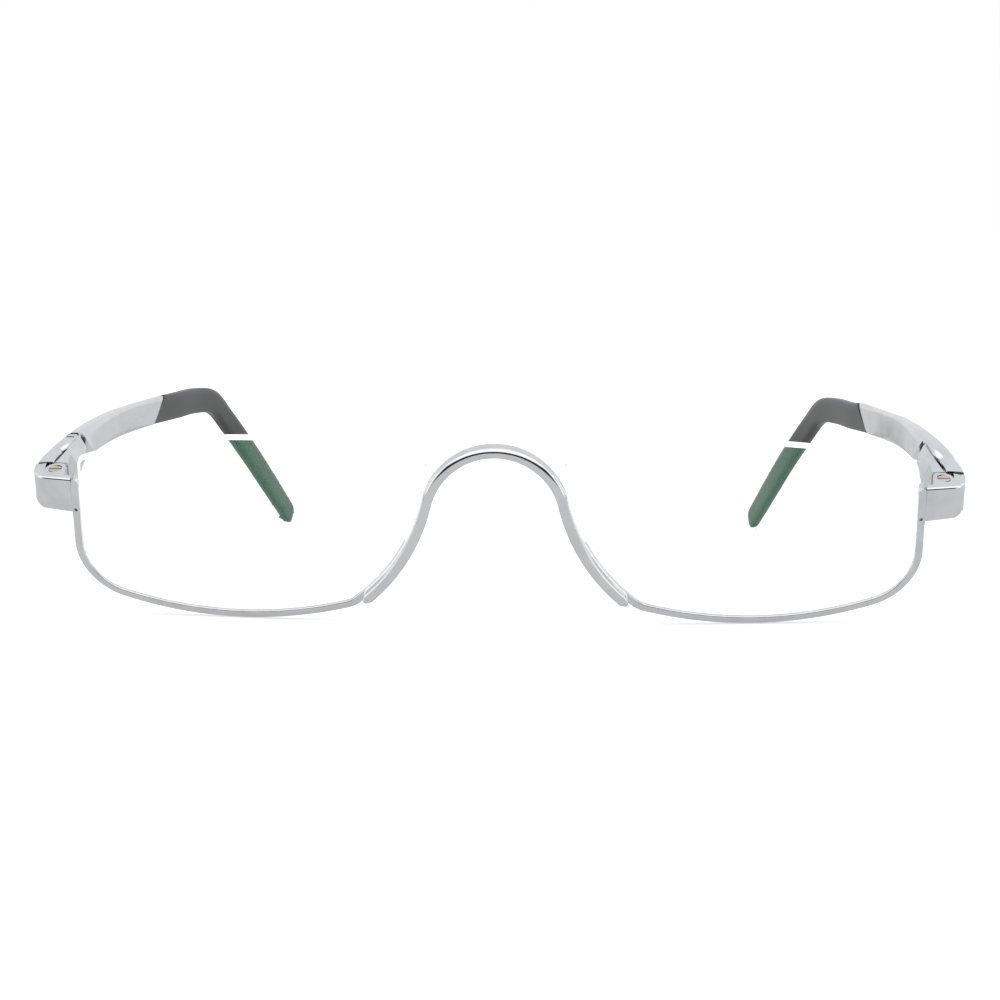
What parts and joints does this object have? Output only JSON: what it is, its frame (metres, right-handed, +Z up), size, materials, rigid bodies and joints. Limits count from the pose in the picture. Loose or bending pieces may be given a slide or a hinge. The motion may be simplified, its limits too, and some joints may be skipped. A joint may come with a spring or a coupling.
{
  "type": "half-rim reading glasses",
  "caption": "Half-rim reading glasses with a saddle bridge, clear lenses, sprung folding temples and dark bent tips.",
  "frame": {"origin": "centre of the bounding box in X and Y, on the surface that the rim bottoms and the tips rest on", "axes": "+X to the right as seen from the front, +Y from the bridge to the ears, +Z up"},
  "size_m": [0.138, 0.1491, 0.0286],
  "materials": {
    "polished_metal": "polished silver plating",
    "hinge_metal": "polished, a little warmer",
    "bush_metal": "plain turned",
    "spring_steel": "drawn wire",
    "lens_clear": "clear with an anti-reflection coating",
    "clear_line": "clear nylon",
    "dark_tip": "satin dark grey acetate"
  },
  "bodies": {
    "front": {"bridge": "polished_metal", "rim_left": "polished_metal", "rim_right": "polished_metal", "lens_left": "lens_clear", "lens_right": "lens_clear", "lens_line_left": "clear_line", "lens_line_right": "clear_line", "end_piece_left": "polished_metal", "end_piece_right": "polished_metal", "hinge_screw_left": "hinge_metal", "hinge_screw_right": "hinge_metal"},
    "arm_left": {"hinge_arm_left": "hinge_metal"},
    "arm_right": {"hinge_arm_right": "hinge_metal"},
    "temple_left": {"temple_left": "polished_metal", "temple_tip_left": "dark_tip", "flex_spring_left": "spring_steel", "spring_bush_left": "bush_metal"},
    "temple_right": {"temple_right": "polished_metal", "temple_tip_right": "dark_tip", "flex_spring_right": "spring_steel", "spring_bush_right": "bush_metal"}
  },
  "joints": [
    {"name": "fold_left", "type": "hinge", "parent": "front", "child": "arm_left", "pos_m": [-0.06574, -0.0586, 0.01963], "axis": [0, 0.4226, -0.9063], "range_deg": [0, 90]},
    {"name": "fold_right", "type": "hinge", "parent": "front", "child": "arm_right", "pos_m": [0.06574, -0.0586, 0.01963], "axis": [0, -0.4226, 0.9063], "range_deg": [0, 84]},
    {"name": "flex_left", "type": "slide", "parent": "arm_left", "child": "temple_left", "axis": [0.1055, 0.9934, 0.0459], "range_m": [0, 0.001], "stiffness_N_per_m": 1500, "springref_m": -0.002, "deforming": ["flex_spring_left"]},
    {"name": "flex_right", "type": "slide", "parent": "arm_right", "child": "temple_right", "axis": [-0.1055, 0.9934, 0.0459], "range_m": [0, 0.001], "stiffness_N_per_m": 1500, "springref_m": -0.002, "deforming": ["flex_spring_right"]}
  ]
}
